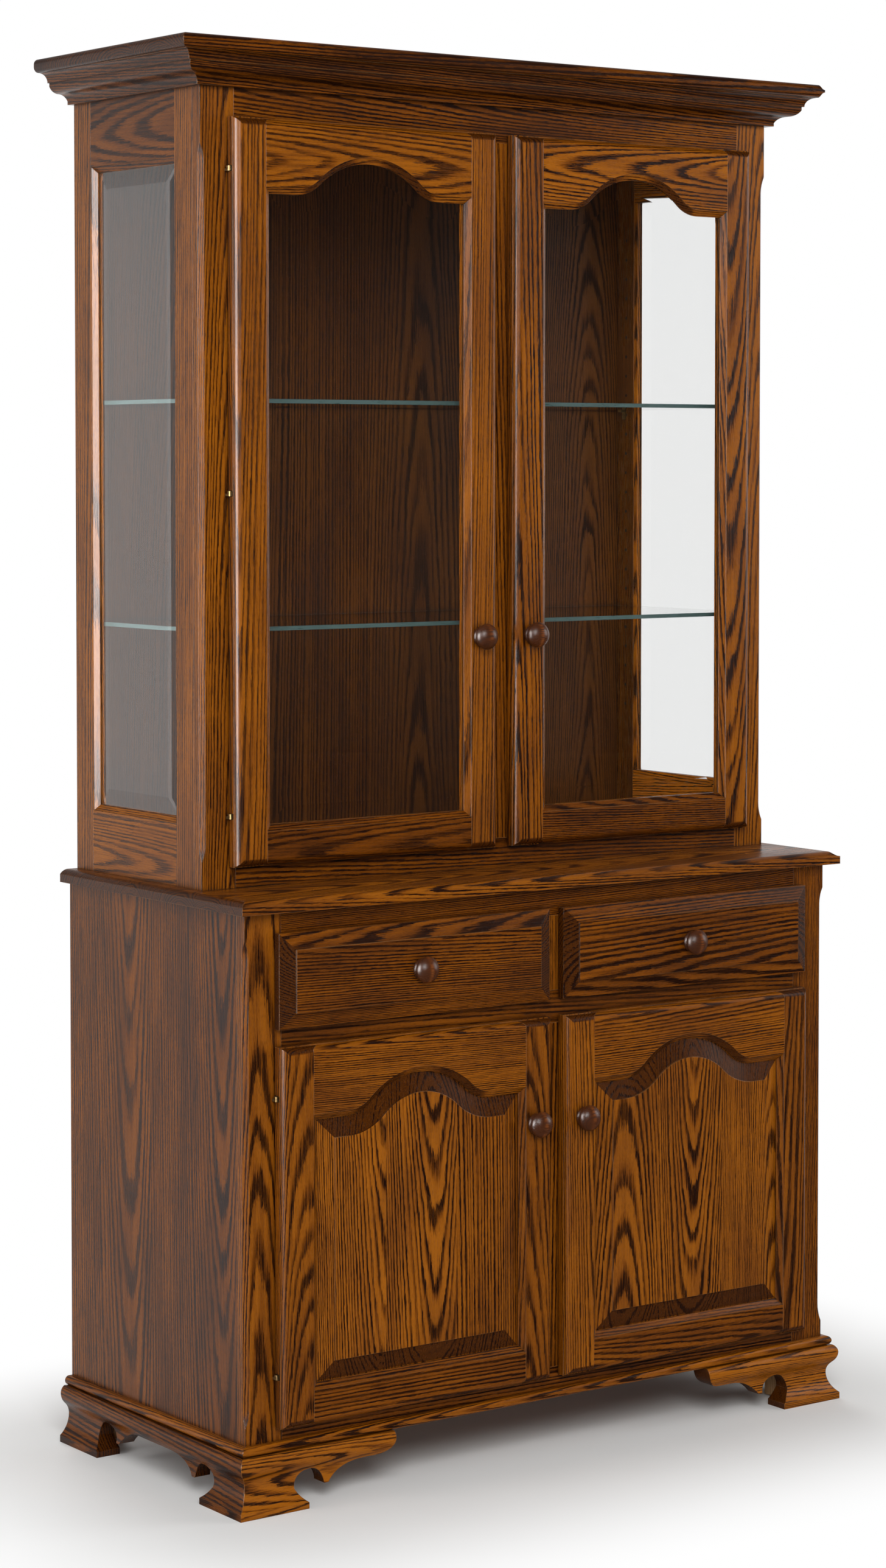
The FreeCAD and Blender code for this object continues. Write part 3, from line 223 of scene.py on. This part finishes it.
def wood(name, pale, deep, worn_and_lit, roughness, shine, bored_and_shaded=False):
    """Stained wood that follows the attributes of lay_grain; the last flag adds pin holes, painted as dark
    dots of shade, and painted shade on inward faces.
    """
    ruddy = rgb(*(share * (light + dark) / 2 for share, light, dark in zip(RUDDY, pale, deep)))
    g = Graph(bpy.data.materials.new(name))
    along, across, through = g.parts(g.read("Attribute", "Vector", attribute_name="board"))
    seed, stave, end = g.parts(g.read("Attribute", "Vector", attribute_name="cut"))
    stain_and_shade = g.read("Attribute", "Fac", attribute_name="stain_and_shade")
    strip = g.math("FLOOR", g.math("DIVIDE", across, stave))
    middle = g.math("MULTIPLY", g.math("ADD", strip, 0.5), stave)
    chance = g.chances(seed, strip, 0.5)
    aside, depth, lean = g.parts(chance["Color"])
    side = g.math("ADD", g.math("SUBTRACT", across, middle), g.offset(aside, PITH_ASIDE))
    place = g.vector(g.math("MULTIPLY_ADD", seed, SEED_SHIFT, along),
                     g.math("MULTIPLY_ADD", strip, STAVE_SHIFT, side), through)

    # Distance from the pith, which leans and wanders along the board
    way = g.math("SIGN", g.math("SUBTRACT", lean, 0.5))
    tilt = g.math("MULTIPLY_ADD", way, LEAST_TILT, g.offset(lean, MORE_TILT))
    below = g.math("MULTIPLY_ADD", tilt, along, through)
    below = g.math("ADD", below, g.span(depth, *PITH_RANGE))
    below = g.math("ADD", below, g.offset(g.noise(place, WANDER_SCALE, 1.0), WANDER))
    below = g.math("ADD", below, g.offset(g.noise(place, RIPPLE_SCALE), RIPPLE))
    radius = g.length(side, below)
    season = g.noise(g.vector(radius, seed, strip), SEASON_SCALE, 1.0)
    growth = g.span(chance["Value"], *RING_RANGE)

    # Open pores in streaks, which crowd into the first wood of each year and fray its line
    streak = g.noise(place, STREAK_SCALE, STREAK_DETAIL, STREAK_ROUGH)
    fine = g.noise(place, FINE_SCALE, 1.0)
    year = g.math("MULTIPLY_ADD", season, SEASON_YEARS, g.math("DIVIDE", radius, growth))
    year = g.math("ADD", year, g.offset(streak, FRAY_YEARS))
    phase = g.math("FRACT", year)
    strength = g.chances(g.math("FLOOR", year), seed, strip)["Value"]
    early = g.math("MULTIPLY", g.span(phase, *EARLY_START_RANGE), g.span(phase, *EARLY_END_RANGE))
    early = g.math("MULTIPLY", early, g.span(strength, *YEAR_RANGE))
    early = g.math("MULTIPLY", early, g.span(g.noise(place, BROKEN_SCALE), *BROKEN_RANGE))
    pores = g.math("MULTIPLY", g.span(streak, *PORE_RANGE), g.span(early, *CROWDED_RANGE))
    hairs = g.span(fine, *HAIR_RANGE)

    # Stain gathers in the pores and in end grain, and each stave takes it a little differently
    cloud = g.noise(place, CLOUD_SCALE)
    flow = g.noise(place, FLOW_SCALE)
    dark = g.math("MULTIPLY_ADD", pores, PORE_STAIN, early)
    dark = g.math("MULTIPLY_ADD", hairs, HAIR_STAIN, dark)
    dark = g.math("ADD", dark, g.offset(flow, FLOW_STAIN))
    # The board's stain attribute also holds painted shade for boards that sit in shadow.
    dark = g.math("ADD", dark, stain_and_shade)
    dark = g.math("ADD", dark, g.span(cloud, *CLOUD_STAIN_RANGE))
    dark = g.math("ADD", dark, g.span(aside, *STAVE_STAIN_RANGE))
    dark = g.math("MULTIPLY_ADD", dark, STAIN_GAIN, STAIN_LEAST)
    dark = g.math("MAXIMUM", dark, g.math("MULTIPLY", end, g.span(fine, *END_STAIN_RANGE)))

    # The first half of dark leads from pale to ruddy, and the second half from there to deep
    colour = g.mix(g.math("MULTIPLY", dark, 2.0), pale, ruddy)
    colour = g.mix(g.math("MULTIPLY_ADD", dark, 2.0, -1.0), colour, deep)

    # Edges are rubbed paler in patches, which is wear and also a painted highlight along them, and creases
    # are darkened with painted shade
    rounded = g.node("Bevel", {"Radius": EDGE_RADIUS}, samples=EDGE_SAMPLES).outputs[0]
    facing = g.read("NewGeometry", "Normal")
    turn = g.node("VectorMath", {0: rounded, 1: facing}, operation="DOT_PRODUCT").outputs["Value"]
    rubbed_and_lit = g.math("MULTIPLY", g.span(turn, *EDGE_WEAR_AND_HIGHLIGHT_RANGE), g.span(cloud, *RUBBED_AND_HIGHLIGHT_RANGE))
    # Paler edges: wear, and also a painted highlight.
    colour = g.mix(rubbed_and_lit, colour, worn_and_lit)
    # Ambient occlusion darkens creases towards the deep colour: painted shade.
    crease_shade = g.node("AmbientOcclusion", {"Distance": CREASE_SHADE_REACH}, samples=EDGE_SAMPLES).outputs["AO"]
    colour = g.mix(g.span(crease_shade, *CREASE_SHADE_RANGE), colour, deep)

    gloss = g.span(cloud, *GLOSS_CLOUD, roughness, roughness + GLOSS_SPREAD)
    gloss = g.math("MULTIPLY_ADD", pores, PORE_GLOSS, gloss)
    if bored_and_shaded:
        inward = inward_faces(g)
        hole = g.math("MULTIPLY", inward, pin_holes(g, along, across, stave))
        # Inward faces darkened towards the deep colour: painted shade; pin holes painted near black: painted
        # shade.
        colour = g.mix(g.math("MULTIPLY", inward, INWARD_SHADE), colour, deep)
        colour = g.mix(hole, colour, HOLE_SHADE_COLOUR)
        gloss = g.between(hole, gloss, HOLE_ROUGHNESS)
    relief = g.math("MULTIPLY_ADD", pores, PORE_RELIEF, g.math("MULTIPLY", hairs, HAIR_RELIEF))
    shader = g.node("BsdfPrincipled", {
        "Base Color": colour, "Roughness": gloss, "Specular IOR Level": shine,
        "Normal": g.bump(relief, RELIEF_STRENGTH, RELIEF_DEPTH, Normal=rounded)})
    return g.finish(Surface=shader.outputs[0])


# Brass, and the ground edges of glass shelves

MARK_RANGE = (0.2, 0.8)
MARK_DEPTH = 0.0002


def marked(name, scale, detail, colours, roughness, relief, metallic):
    """A finish with fine marks, which lead from one colour and roughness to another."""
    g = Graph(bpy.data.materials.new(name))
    mark = g.noise(g.read("TexCoord", "Object"), scale, detail)
    shader = g.node("BsdfPrincipled", {
        "Base Color": g.mix(mark, *colours), "Metallic": metallic,
        "Roughness": g.span(mark, *MARK_RANGE, *roughness), "Normal": g.bump(mark, relief, MARK_DEPTH)})
    return g.finish(Surface=shader.outputs[0])


# Glass

SMEAR_SCALE = (9.0, 6.0)
SMEAR_RANGE = (0.3, 0.7, 0.0, 0.02)
SMEAR_STRENGTH = 0.03
SMEAR_DEPTH = 0.001
GLASS_IOR = 1.5
GLASS_SHADE = rgb(0.93, 0.95, 0.94)
GLASS_GREEN = rgb(0.55, 0.86, 0.74)
GLASS_DENSITY = 2.0


def glass(name, bend):
    """Clear glass with a little green in its depth; light from lamps passes straight through it.

    bend scales the sideways parts of a door pane's normal, and so how far its bevel bends the view."""
    g = Graph(bpy.data.materials.new(name))
    eased = g.scaled(g.read("TexCoord", "Normal"), (bend, 1.0, bend))
    eased = g.node("VectorTransform", {0: eased}, vector_type="NORMAL", convert_from="OBJECT",
                   convert_to="WORLD").outputs[0]
    smear = g.noise(g.read("TexCoord", "Object"), SMEAR_SCALE)
    body = g.node("BsdfPrincipled", {
        "Base Color": WHITE, "Roughness": g.span(smear, *SMEAR_RANGE), "IOR": GLASS_IOR,
        "Transmission Weight": 1.0, "Normal": g.bump(smear, SMEAR_STRENGTH, SMEAR_DEPTH, Normal=eased)})
    through = g.node("BsdfTransparent", {"Color": GLASS_SHADE})
    lamp = g.read("LightPath", "Is Shadow Ray")
    shader = g.node("MixShader", {0: lamp, 1: body.outputs[0], 2: through.outputs[0]})
    depth = g.node("VolumeAbsorption", {"Color": GLASS_GREEN, "Density": GLASS_DENSITY})
    return g.finish(Surface=shader.outputs[0], Volume=depth.outputs[0])


# Finishes. A wood has its pale, deep and rubbed colour, its roughness and its specular level; the rubbed
# colour is wear and also a painted highlight along edges.

OAK_LOOK = (rgb(0.355, 0.109, 0.005), rgb(0.013, 0.0030, 0.0008), rgb(0.55, 0.25, 0.085), 0.23, 0.24)
KNOB_LOOK = (rgb(0.200, 0.056, 0.009), rgb(0.045, 0.013, 0.004), rgb(0.20, 0.07, 0.018), 0.26, 0.42)
# The hutch's inside panels take a darker copy of the oak: painted shade.
SHADED_INSIDE_LOOK = (rgb(0.092, 0.029, 0.0035), rgb(0.012, 0.0035, 0.001), rgb(0.13, 0.045, 0.009), 0.36, 0.20)
INNER_LOOK = (rgb(0.52, 0.33, 0.16), rgb(0.30, 0.16, 0.065), rgb(0.60, 0.42, 0.24), 0.42, 0.25)
EDGE_COLOURS = (rgb(0.034, 0.062, 0.060), rgb(0.066, 0.108, 0.104))
BRASS_COLOURS = (rgb(0.10, 0.060, 0.024), rgb(0.24, 0.155, 0.065))

OAK = wood("oak", *OAK_LOOK)
BORED_SHADED = wood("bored_shaded_oak", *OAK_LOOK, bored_and_shaded=True)
KNOB = wood("knob_oak", *KNOB_LOOK)
SHADED_INSIDE = wood("shaded_inside_oak", *SHADED_INSIDE_LOOK)
INNER = wood("inner_oak", *INNER_LOOK)
EDGE = marked("glass_edge", (60.0, 900.0), 2.0, EDGE_COLOURS, (0.25, 0.45), relief=0.2, metallic=0.0)
PANE = glass("pane_glass", bend=0.3)
BRASS = marked("brass", (900.0, 250.0), 3.0, BRASS_COLOURS, (0.28, 0.46), relief=0.15, metallic=1.0)
GLASS = glass("glass", bend=1.0)
FINISHES = {"oak": OAK, "inner_wood": INNER, "brass": BRASS, "glass": GLASS}


# Each solid of a node is a board of its own, with its grain along its longest side

KNOB_SIZE = 0.06
KNOB_GRAIN = (0, 1)
STAVE = 0.13
STAVE_SLACK = 1.0001
VENEER_LEAF = 0.23
VENEERED = ("side_panel", "back_panel")
INSIDE = ("hutch_back_panel", "hutch_bottom_panel", "hutch_top_panel")
END_FROM = 0.03
END_OVER = 0.14
UPRIGHT = 0.5

FIRST_SEED = 1.0
NODE_SEED = 1.618
BOARD_SEED = 0.37
RESEED = {"base_face_stiles": 4.87}

# How much more stain a board takes, with painted shade added for boards that sit in shadow, such as under
# the crown: the first line counts that is part of its node's name and number
STAIN_AND_SHADE = {
    "hutch_left_door_rails.0": 0.31,
    "hutch_right_door_rails.0": 0.36,
    "side_frame.3": 0.24,
    "base_face_stiles.1": 0.29,
    "left_drawer_front": 0.33,
    "right_drawer_front": 0.23,
    "door_panel": 0.05,
    "front_bracket": -0.20,
    "side_bracket": 0.32,
    "side_panel": 0.22,
    "side_frame": -0.08,
    "crown": 0.42,
    "countertop": 0.14,
    "hutch_bottom_rail": 0.28,
    "hutch_top_rail": 0.30,
    "base_top_rail": 0.37,
    "hutch_left_door_rail": 0.03,
    "hutch_right_door_rail": 0.03,
    "hutch_left_door_stile": -0.04,
    "hutch_right_door_stile": 0.03,
    "base_right_door_stile": 0.08,
    "_rail": 0.17,
    "door_stile": 0.17,
    "stile": 0.06,
}
OTHER_STAIN = 0.03


def solids_of(mesh):
    """Runs of triangles that close into one solid each; the mesh lists its solids one after another."""
    key = [tuple(round(value, 5) for value in vertex.co) for vertex in mesh.vertices]
    runs = []
    start = 0
    open_edges = set()
    for polygon in mesh.polygons:
        corners = [key[index] for index in polygon.vertices]
        for first, second in zip(corners, corners[1:] + corners[:1]):
            if first != second:
                open_edges ^= {frozenset((first, second))}
        if not open_edges:
            runs.append(range(start, polygon.index + 1))
            start = polygon.index + 1
    return runs


def members_of(mesh, polygons):
    """The numbers and places of the vertices of some polygons."""
    members = sorted({index for polygon in polygons for index in mesh.polygons[polygon].vertices})
    return members, np.array([mesh.vertices[index].co for index in members])


def paint(mesh, polygons, finish):
    if finish.name not in mesh.materials:
        mesh.materials.append(finish)
    index = mesh.materials.find(finish.name)
    for polygon in polygons:
        mesh.polygons[polygon].material_index = index


def finish_of(name, slot, sizes):
    if slot == "oak" and sizes.max() < KNOB_SIZE:
        return KNOB
    # Side stiles take the wood with pin holes and painted shade on their inward faces.
    if name.endswith("side_frame") and sizes.argmax() == 2:
        return BORED_SHADED
    if name.endswith("door_glass"):
        return PANE
    # The hutch's inside panels get the darker copy of the oak: painted shade.
    return SHADED_INSIDE if name in INSIDE else FINISHES[slot]


def stain_and_shade_of(board, slot):
    if slot != "oak":
        return 0.0
    return next((stain_and_shade for part, stain_and_shade in STAIN_AND_SHADE.items() if part in board), OTHER_STAIN)


def add_grain(mesh):
    for label, kind in (("board", "FLOAT_VECTOR"), ("cut", "FLOAT_VECTOR"), ("stain_and_shade", "FLOAT")):
        mesh.attributes.new(label, kind, "POINT")


def lay_grain(mesh, polygons, grain, thin, stave, seed, stain_and_shade):
    """Writes a board's own coordinates, seed, stave width, end grain, and stain with painted shade for some
    boards, on its vertices.

    The slack in the width keeps the board's far edge in its last stave."""
    members, places = members_of(mesh, polygons)
    normals = np.array([mesh.vertices[index].normal for index in members])
    wide = 3 - grain - thin
    low, high = places.min(0), places.max(0)
    staves = max(1, round((high[wide] - low[wide]) / stave))
    width = (high[wide] - low[wide]) / staves * STAVE_SLACK
    end = np.clip((np.abs(normals[:, grain]) - END_FROM) / END_OVER, 0, 1)
    for index, place, ending in zip(members, places, end):
        mesh.attributes["board"].data[index].vector = (
            place[grain] - (low[grain] + high[grain]) / 2, place[wide] - low[wide], place[thin] - low[thin])
        mesh.attributes["cut"].data[index].vector = (seed, width, ending)
        mesh.attributes["stain_and_shade"].data[index].value = stain_and_shade
    return low, high


# Round shapes, from rings of points

SIDES = 48
TURNS = [2 * math.pi * side / SIDES for side in range(SIDES)]
CIRCLE = [(math.cos(turn), math.sin(turn)) for turn in TURNS]


def ringed(name, rings, tip):
    """A mesh of rings of points, closed by a tip after the last ring."""
    points = [point for ring in rings for point in ring] + [tip]
    last = (len(rings) - 1) * SIDES
    pairs = [(side, (side + 1) % SIDES) for side in range(SIDES)]
    faces = [(ring + side, ring + after, ring + SIDES + after, ring + SIDES + side)
             for ring in range(0, last, SIDES) for side, after in pairs]
    faces += [(last + side, last + after, last + SIDES) for side, after in pairs]
    mesh = bpy.data.meshes.new(name)
    mesh.from_pydata(points, [], faces)
    return mesh


def added(name, data):
    piece = bpy.data.objects.new(name, data)
    bpy.context.scene.collection.objects.link(piece)
    return piece


# A knob's turned outline, as radius and height above the face that it stands on

KNOB_OUTLINE = [
    (0.0156, 0.0000), (0.0159, 0.0012), (0.0156, 0.0026), (0.0145, 0.0042), (0.01415, 0.0065),
    (0.0149, 0.0086), (0.0168, 0.0102), (0.0187, 0.0112), (0.01925, 0.0124), (0.0191, 0.0139),
    (0.0182, 0.0162), (0.0166, 0.0186), (0.0143, 0.0210), (0.0114, 0.0230), (0.0082, 0.0245),
    (0.0046, 0.02555)]
KNOB_TIP = 0.0260


def turned_knob(name, low, high, body, seed):
    """A smooth domed knob over the plain one in the frame, which stands on the face at its highest y."""
    x, face, z = (low[0] + high[0]) / 2, high[1], (low[2] + high[2]) / 2
    rings = [[(x + radius * aside, face - height, z + radius * up) for aside, up in CIRCLE]
             for radius, height in KNOB_OUTLINE]
    mesh = ringed(name, rings, (x, face - KNOB_TIP, z))
    mesh.shade_smooth()
    add_grain(mesh)
    everything = range(len(mesh.polygons))
    lay_grain(mesh, everything, *KNOB_GRAIN, STAVE, seed, 0.0)
    paint(mesh, everything, KNOB)
    piece = added(name, mesh)
    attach(piece, body)


def dress(number, name, mesh, slot, body):
    """Gives each board of a node its finish and grain, and each knob its smooth cover."""
    mesh.materials.clear()
    add_grain(mesh)
    for count, polygons in enumerate(solids_of(mesh)):
        _, places = members_of(mesh, polygons)
        sizes = places.max(0) - places.min(0)
        finish = finish_of(name, slot, sizes)
        paint(mesh, polygons, finish)
        grain, thin = KNOB_GRAIN if finish is KNOB else (int(sizes.argmax()), int(sizes.argmin()))
        leaf = VENEER_LEAF if name.endswith(VENEERED) else STAVE
        seed = FIRST_SEED + number * NODE_SEED + count * BOARD_SEED + RESEED.get(name, 0.0)
        stain_and_shade = stain_and_shade_of(f"{name}.{count}", slot)
        low, high = lay_grain(mesh, polygons, grain, thin, leaf, seed, stain_and_shade)
        if finish is KNOB:
            turned_knob(f"{body}_knob", low, high, body, seed)


# Floor. A RANGE is as for wood, and lengths are in metres.

FLOOR_RINGS = (12.8, 6.4, 3.2, 1.6, 0.8)
FOOTPRINT = (0.50, 0.18)
FLOOR_TONES = (rgb(0.90, 0.90, 0.89), rgb(0.93, 0.93, 0.92))
FLOOR_DIM = rgb(0.03, 0.03, 0.03)
FLOOR_ROUGHNESS = 0.9
FLOOR_SHINE = 0.1
MOTTLE_SCALE = (7.0, 7.0)
BEHIND_RANGE = (-0.6, 0.6)
FAR_RANGE = (2.0, 8.0, 0.4, 1.0)
FADE_RANGE = (0.08, 0.55)


def floor():
    """A pale floor that keeps the shadow and fades to white away from the object.

    Gloss sees it dim in front of the object, and white behind it."""
    g = Graph(bpy.data.materials.new("floor"))
    ground = g.read("TexCoord", "Object")
    x, y, _ = g.parts(ground)
    distance = g.length(*(g.math("MAXIMUM", g.math("SUBTRACT", g.math("ABSOLUTE", place), half), 0.0)
                          for place, half in zip((x, y), FOOTPRINT)))
    behind = g.span(y, *BEHIND_RANGE)
    scattered = g.met("Diffuse Depth")
    mirrored = g.met("Glossy Depth")
    pale = g.mix(g.noise(ground, MOTTLE_SCALE), *FLOOR_TONES)
    dim = g.math("MULTIPLY", mirrored, g.math("SUBTRACT", 1.0, behind))
    matte = g.node("BsdfPrincipled", {
        "Base Color": g.mix(dim, pale, FLOOR_DIM), "Roughness": FLOOR_ROUGHNESS,
        "Specular IOR Level": FLOOR_SHINE})
    white = g.node("Emission", {"Color": WHITE, "Strength": 1.0})
    straight = g.math("MAXIMUM", g.read("LightPath", "Is Camera Ray"),
                      g.read("LightPath", "Is Transmission Ray"))
    bare = g.between(mirrored, straight, g.math("MULTIPLY", behind, g.span(distance, *FAR_RANGE)))
    bare = g.between(scattered, bare, 0.0)
    share = g.math("MULTIPLY", bare, g.span(distance, *FADE_RANGE))
    shader = g.node("MixShader", {0: share, 1: matte.outputs[0], 2: white.outputs[0]})
    rings = [[(radius * right, radius * back, 0.0) for right, back in CIRCLE] for radius in FLOOR_RINGS]
    mesh = ringed("floor", rings, (0.0, 0.0, 0.0))
    mesh.materials.append(g.finish(Surface=shader.outputs[0]))
    piece = added("floor", mesh)


# Light

ROOM = 0.25
BACK_GLOSS_RANGE = (-0.4, 0.4, 0.012, 1.0)
HIGH_GLOSS_RANGE = (0.10, 0.24, 1.0, 0.3)


def studio():
    """A white background, seen in gloss only low behind the object, and a dim even room for soft light."""
    world = bpy.data.worlds.new("studio")
    bpy.context.scene.world = world
    g = Graph(world)
    _, back, up = g.parts(g.read("TexCoord", "Generated"))
    shine = g.math("MULTIPLY", g.span(back, *BACK_GLOSS_RANGE), g.span(up, *HIGH_GLOSS_RANGE))
    seen = g.between(g.met("Glossy Depth"), 1.0, shine)
    level = g.between(g.met("Diffuse Depth"), seen, ROOM)
    background = g.node("Background", {"Color": WHITE, "Strength": level})
    g.finish(Surface=background.outputs[0])


def softbox(name, place, target, width, height, watts, soft=True, gloss=True):
    """An area lamp; soft and gloss say whether it lights matte colour and shows in shiny surfaces."""
    light = bpy.data.lights.new(name, "AREA")
    light.shape = "RECTANGLE"
    light.size = width
    light.size_y = height
    light.energy = watts
    lamp = added(name, light)
    lamp.visible_camera = False
    lamp.visible_transmission = False
    lamp.visible_diffuse = soft
    lamp.visible_glossy = gloss
    lamp.location = place
    lamp.rotation_euler = (Vector(target) - Vector(place)).to_track_quat("-Z", "Y").to_euler()


# Camera, solved from the photograph's edges: angles in degrees, place in metres, lens in millimetres

CAMERA_PLACE = (-3.184, -4.34275, 1.475)
CAMERA_YAW = -35.901
CAMERA_PITCH = -2.482
CAMERA_LENS = 81.10
CAMERA_SENSOR = 36.0
CAMERA_SHIFT = -0.1068
CAMERA_REACH = 60.0


def camera():
    yaw, pitch = math.radians(CAMERA_YAW), math.radians(CAMERA_PITCH)
    ahead = Vector((-math.sin(yaw) * math.cos(pitch), math.cos(yaw) * math.cos(pitch), math.sin(pitch)))
    right = Vector((math.cos(yaw), math.sin(yaw), 0.0))
    up = right.cross(ahead)
    data = bpy.data.cameras.new("camera")
    data.sensor_width = CAMERA_SENSOR
    data.lens = CAMERA_LENS
    data.shift_y = CAMERA_SHIFT
    data.clip_end = CAMERA_REACH
    view = added("camera", data)
    turn = Matrix((right, up, -ahead)).transposed().to_4x4()
    view.matrix_world = Matrix.Translation(CAMERA_PLACE) @ turn
    bpy.context.scene.camera = view


slots = {part["node"]: part["material_slot"] for part in frame["record"]["subparts"]}
bodies = {node: body for body, members in frame["record"]["behaviour"]["bodies"].items() for node in members}
for number, (name, node) in enumerate(sorted(nodes.items())):
    dress(number, name, node.data, slots[name], bodies[name])
shelves = nodes["glass_shelves"].data
paint(shelves, [face.index for face in shelves.polygons if abs(face.normal.z) < UPRIGHT], EDGE)

floor()
studio()
softbox("key", (-2.6, -4.2, 3.3), (0.0, 0.0, 1.0), 2.4, 2.4, 185)
softbox("fill", (4.6, -2.2, 2.2), (0.0, 0.0, 1.0), 2.0, 2.6, 60)
softbox("left", (-4.0, 0.4, 1.6), (0.0, 0.0, 1.2), 1.0, 2.6, 30)
softbox("sheen", (-4.0, -0.4, 1.6), (0.0, 0.0, 1.2), 1.8, 2.8, 430, soft=False)
softbox("back", (1.2, 4.4, 2.8), (0.0, 0.0, 1.0), 2.4, 2.4, 80, gloss=False)
camera()
bpy.context.scene.view_settings.view_transform = "Standard"
